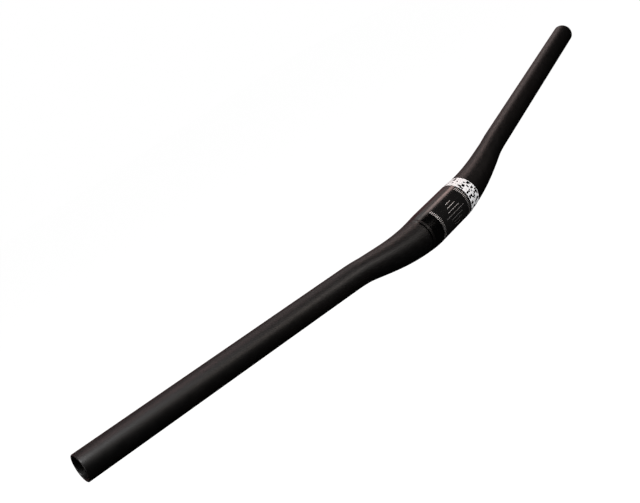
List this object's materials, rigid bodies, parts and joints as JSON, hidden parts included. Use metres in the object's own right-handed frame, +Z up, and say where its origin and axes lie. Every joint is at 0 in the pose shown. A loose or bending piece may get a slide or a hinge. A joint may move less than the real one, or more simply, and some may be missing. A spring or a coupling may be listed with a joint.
{
  "type": "riser handlebar",
  "caption": "Bicycle riser handlebar: a butted, tapered aluminium tube, thick at its stem seat and bent up and back to straight, open-ended grips.",
  "frame": {"origin": "centre of the stem seat, on its axis", "axes": "+X along the stem seat to the rider's right, +Y forward, +Z up with the rise"},
  "size_m": [0.7834, 0.0691, 0.0665],
  "materials": {
    "bar": "peened and black anodised, satin",
    "clamp_lacquer": "gloss black printed field round the stem seat",
    "white_print": "white screen print: a dashed band and plain graduations"
  },
  "bodies": {
    "root": {"handlebar": "bar"}
  },
  "joints": []
}
